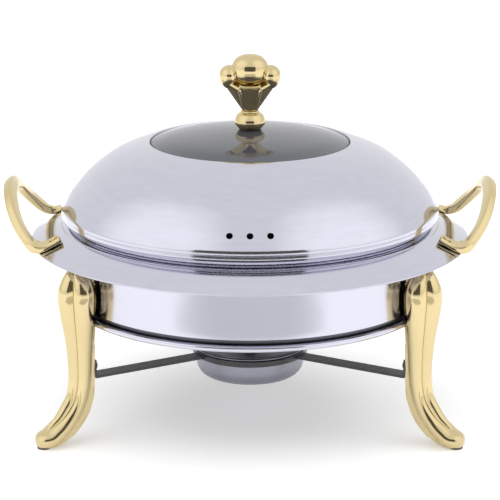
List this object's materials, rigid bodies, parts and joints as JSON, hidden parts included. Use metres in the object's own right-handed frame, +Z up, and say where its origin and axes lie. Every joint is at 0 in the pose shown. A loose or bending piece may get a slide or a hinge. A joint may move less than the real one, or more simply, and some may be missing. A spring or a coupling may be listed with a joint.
{
  "type": "chafing dish",
  "caption": "Round table-top chafing dish: domed lid with glass window and lobed knob, food pan, water pan with looped handles, fluted-leg stand, burner.",
  "frame": {"origin": "on the dish's axis at the height of the table", "axes": "+Z up, -Y to the front (the side of the lid's three vent holes), +X to the right"},
  "size_m": [0.4106, 0.3837, 0.3092],
  "materials": {
    "gold_casting": "polished gold plate",
    "mirror_steel": "mirror polished stainless steel",
    "satin_steel": "satin stainless steel",
    "black_steel": "black enamel",
    "seal_rubber": "dark silicone",
    "tinted_glass": "smoke tinted tempered glass",
    "wick_fibre": "mineral fibre pad",
    "felt_sole": "felt"
  },
  "bodies": {
    "stand": {"leg_front_left": "gold_casting", "leg_front_right": "gold_casting", "leg_rear": "gold_casting", "support_ring": "mirror_steel", "burner_strip_left": "black_steel", "burner_strip_right": "black_steel", "burner_strip_rear": "black_steel", "burner_holder_ring": "black_steel", "strip_screws": "black_steel", "foot_pads": "felt_sole"},
    "water_pan": {"water_pan": "mirror_steel", "handle_left": "gold_casting", "handle_right": "gold_casting", "handle_screws": "satin_steel", "handle_washers": "satin_steel"},
    "food_pan": {"food_pan": "mirror_steel"},
    "lid": {"lid_shell": "mirror_steel", "window_gasket": "seal_rubber", "window_glass": "tinted_glass", "knob_crown": "gold_casting", "knob_collar": "gold_casting", "knob_seal": "seal_rubber", "knob_backing_washer": "satin_steel", "knob_screw": "satin_steel"},
    "burner": {"burner_cup": "satin_steel", "burner_top": "satin_steel", "burner_wick": "wick_fibre", "burner_rivet": "satin_steel"},
    "burner_cover": {"burner_cover": "satin_steel"}
  },
  "joints": [
    {"name": "water_pan_lift", "type": "slide", "parent": "stand", "child": "water_pan", "axis": [0, 0, 1], "range_m": [0, 0.08]},
    {"name": "food_pan_lift", "type": "slide", "parent": "water_pan", "child": "food_pan", "axis": [0, 0, 1], "range_m": [0, 0.08]},
    {"name": "lid_lift", "type": "slide", "parent": "food_pan", "child": "lid", "axis": [0, 0, 1], "range_m": [0, 0.12]},
    {"name": "burner_lift", "type": "slide", "parent": "stand", "child": "burner", "axis": [0, 0, 1], "range_m": [0, 0.026]},
    {"name": "burner_cover_swing", "type": "hinge", "parent": "burner", "child": "burner_cover", "pos_m": [0, 0.032, 0.061], "axis": [0, 0, 1], "range_deg": [0, 95]}
  ]
}
